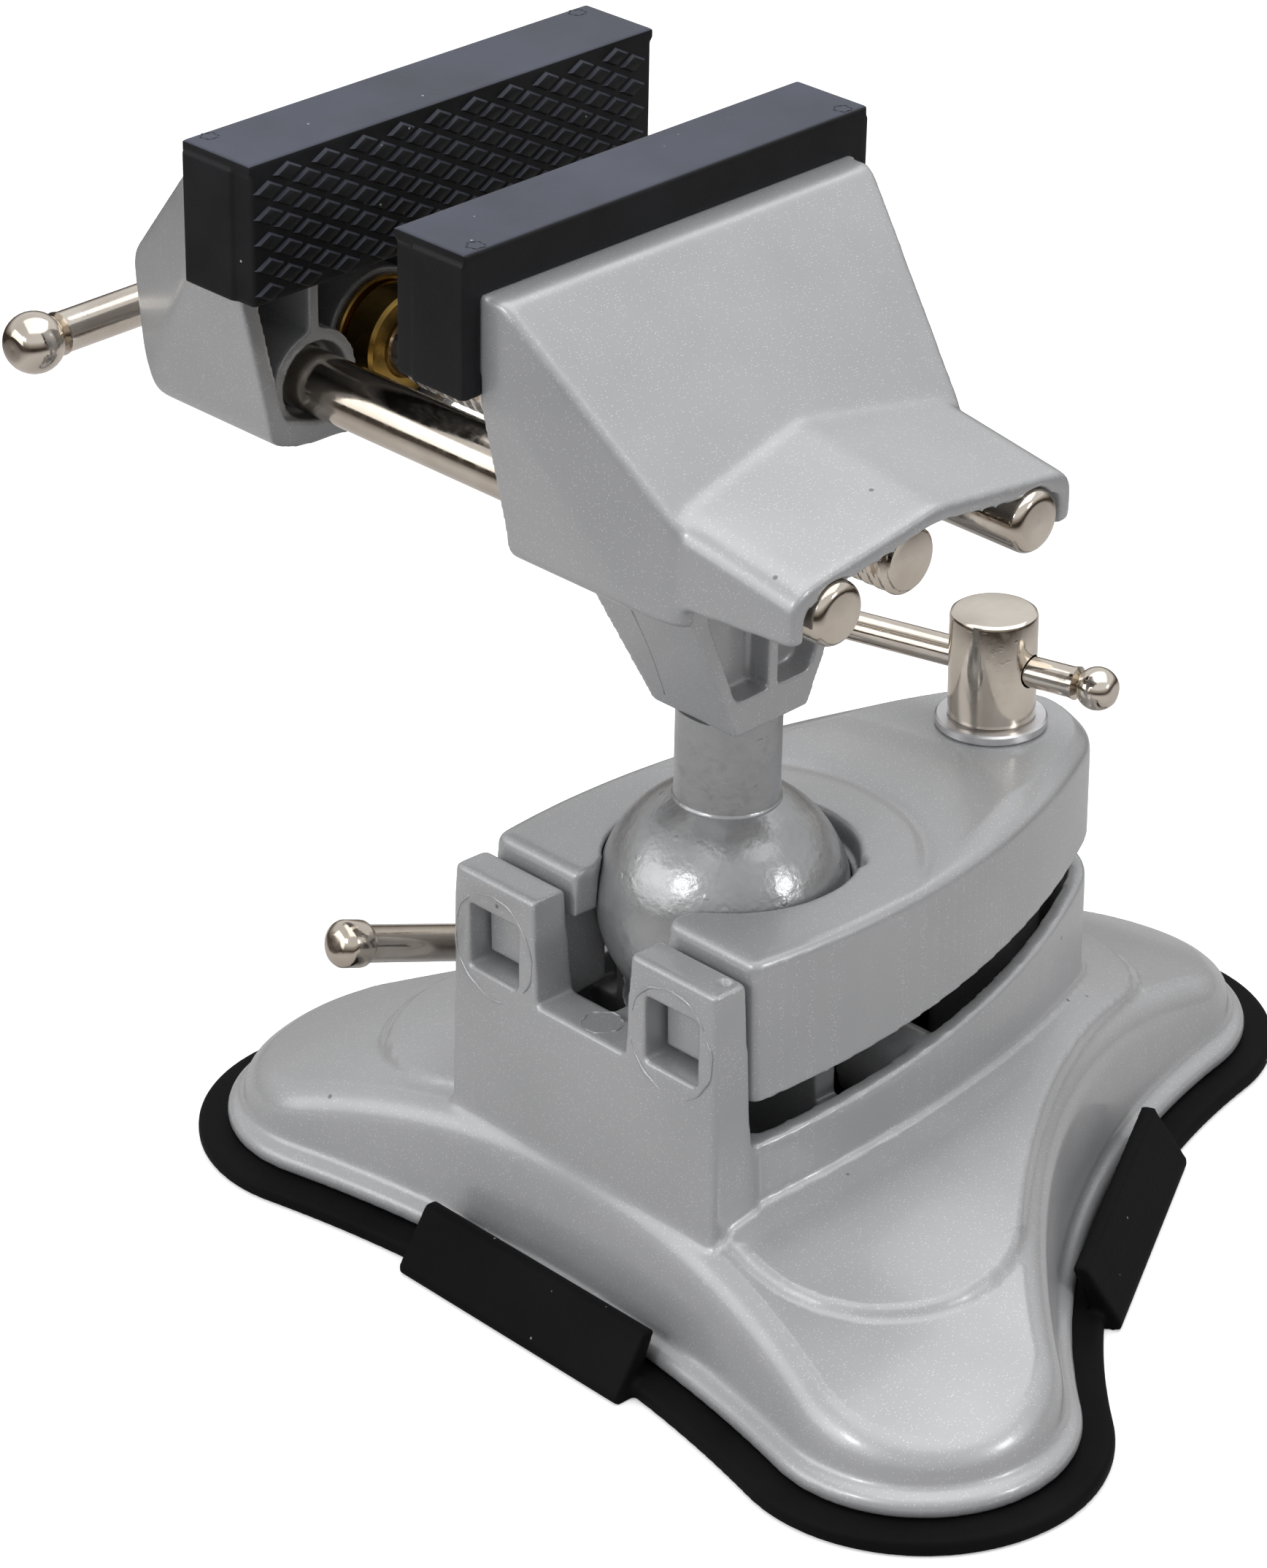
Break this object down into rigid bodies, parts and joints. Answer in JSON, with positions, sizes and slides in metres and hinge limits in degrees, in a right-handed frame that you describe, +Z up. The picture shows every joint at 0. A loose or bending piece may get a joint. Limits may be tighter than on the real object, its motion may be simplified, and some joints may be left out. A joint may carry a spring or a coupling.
{
  "type": "ball joint table vise",
  "caption": "Small swivelling bench vise with rubber-covered jaws on a clamped ball joint and a lever-locked suction base.",
  "frame": {"origin": "middle of the suction pad's underside, on the table", "axes": "+Z up, +Y from the two front uprights towards the clamp screw, +X from the moving jaw towards the fixed jaw"},
  "size_m": [0.1887, 0.1559, 0.1616],
  "materials": {
    "painted_zinc": "satin",
    "bare_zinc": "semi-gloss",
    "nickel": "polished",
    "zinc_plate": "bright",
    "brass": "satin",
    "jaw_rubber": "matt",
    "pad_rubber": "matt"
  },
  "bodies": {
    "base": {"base_casting": "painted_zinc", "suction_pad": "pad_rubber"},
    "lever": {"cam_shaft": "zinc_plate", "suction_lever": "nickel", "shaft_clip": "zinc_plate"},
    "pull_stud": {"pull_stud": "zinc_plate"},
    "lid": {"clamp_lid": "painted_zinc"},
    "washer": {"clamp_washer": "zinc_plate"},
    "clamp_screw": {"clamp_screw": "nickel"},
    "clamp_bar": {"clamp_tommy_bar": "nickel"},
    "ball": {"ball": "bare_zinc"},
    "neck": {"neck": "bare_zinc", "swivel_screw": "zinc_plate"},
    "fixed_jaw": {"fixed_jaw": "painted_zinc", "fixed_jaw_cover": "jaw_rubber", "lead_nut": "zinc_plate"},
    "moving_jaw": {"moving_jaw": "painted_zinc", "moving_jaw_cover": "jaw_rubber", "guide_rod_front": "nickel", "guide_rod_rear": "nickel", "rod_pins": "zinc_plate"},
    "lead_screw": {"lead_screw": "nickel", "thrust_washer": "brass", "thrust_collar": "zinc_plate", "collar_pin": "zinc_plate"},
    "jaw_bar": {"jaw_tommy_bar": "nickel"}
  },
  "joints": [
    {"name": "lever_swing", "type": "hinge", "parent": "base", "child": "lever", "pos_m": [0, 0, 0.0296], "axis": [-1, 0, 0], "range_deg": [0, 90]},
    {"name": "stud_pull", "type": "slide", "parent": "base", "child": "pull_stud", "axis": [0, 0, 1], "range_m": [-0.00198, 0]},
    {"name": "lid_tilt", "type": "hinge", "parent": "base", "child": "lid", "pos_m": [0, -0.037, 0.05], "axis": [1, 0, 0], "range_deg": [0, 0.74]},
    {"name": "washer_lift", "type": "slide", "parent": "base", "child": "washer", "axis": [0, 0, 1], "range_m": [0, 0.0011]},
    {"name": "clamp_screw_turn", "type": "hinge", "parent": "washer", "child": "clamp_screw", "pos_m": [0, 0.0387, 0.0652], "axis": [0, 0, 1], "range_deg": [0, 318]},
    {"name": "clamp_bar_slide", "type": "slide", "parent": "clamp_screw", "child": "clamp_bar", "axis": [0.9659, 0.2588, 0], "range_m": [-0.0072, 0.0253]},
    {"name": "side_tilt", "type": "hinge", "parent": "base", "child": "ball", "pos_m": [0, -0.015, 0.055], "axis": [0, 1, 0], "range_deg": [-37.4, 32.6]},
    {"name": "front_tilt", "type": "hinge", "parent": "ball", "child": "neck", "pos_m": [0, -0.015, 0.055], "axis": [0.9991, 0, -0.0419], "range_deg": [-20.5, 89.5]},
    {"name": "head_spin", "type": "hinge", "parent": "neck", "child": "fixed_jaw", "pos_m": [0, -0.015, 0.055], "axis": [0.0419, -0.0087, 0.9991], "continuous": true},
    {"name": "jaw_slide", "type": "slide", "parent": "fixed_jaw", "child": "moving_jaw", "axis": [0.9978, 0.0523, -0.0414], "range_m": [-0.028, 0.0264]},
    {"name": "lead_screw_turn", "type": "hinge", "parent": "moving_jaw", "child": "lead_screw", "pos_m": [-0.09612, -0.02073, 0.12244], "axis": [0.9978, 0.0523, -0.0414], "range_deg": [-5040, 4752]},
    {"name": "jaw_bar_slide", "type": "slide", "parent": "lead_screw", "child": "jaw_bar", "axis": [-0.0519, 0.9986, 0.0109], "range_m": [-0.0265, 0.0265]}
  ],
  "couplings": [
    {"joint": "stud_pull", "follows": "lever_swing", "m_per_rad": -0.0012604},
    {"joint": "clamp_screw_turn", "follows": "washer_lift", "rad_per_m": 5026.5},
    {"joint": "lid_tilt", "follows": "washer_lift", "rad_per_m": 11.628},
    {"joint": "lead_screw_turn", "follows": "jaw_slide", "rad_per_m": 3141.6}
  ]
}
